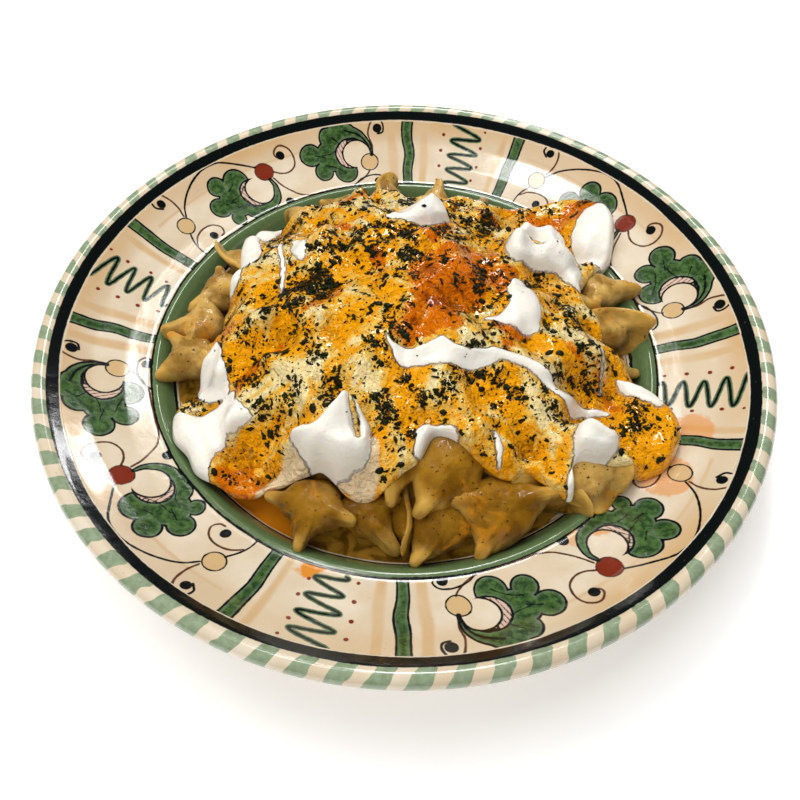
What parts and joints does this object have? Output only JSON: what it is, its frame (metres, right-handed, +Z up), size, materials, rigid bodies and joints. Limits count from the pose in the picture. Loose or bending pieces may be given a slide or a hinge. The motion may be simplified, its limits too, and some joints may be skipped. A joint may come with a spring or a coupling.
{
  "type": "plate of manti dumplings",
  "caption": "Deep painted plate with a heap of folded manti dumplings in butter broth under thick yogurt and dried mint.",
  "frame": {"origin": "centre of the plate's foot ring, on the surface that it stands on", "axes": "+Z up; -Y towards the eater, the side that the picture is taken from; +X to the eater's right"},
  "size_m": [0.2994, 0.2994, 0.0598],
  "materials": {
    "glazed_earthenware": "glossy cream glaze with painted ornament",
    "broth": "wet, oily",
    "boiled_dough": "moist, slightly glossy",
    "yogurt": "wet, with orange butter and mint"
  },
  "bodies": {
    "root": {"plate": "glazed_earthenware", "broth": "broth", "dumplings": "boiled_dough", "yogurt": "yogurt"}
  },
  "joints": []
}
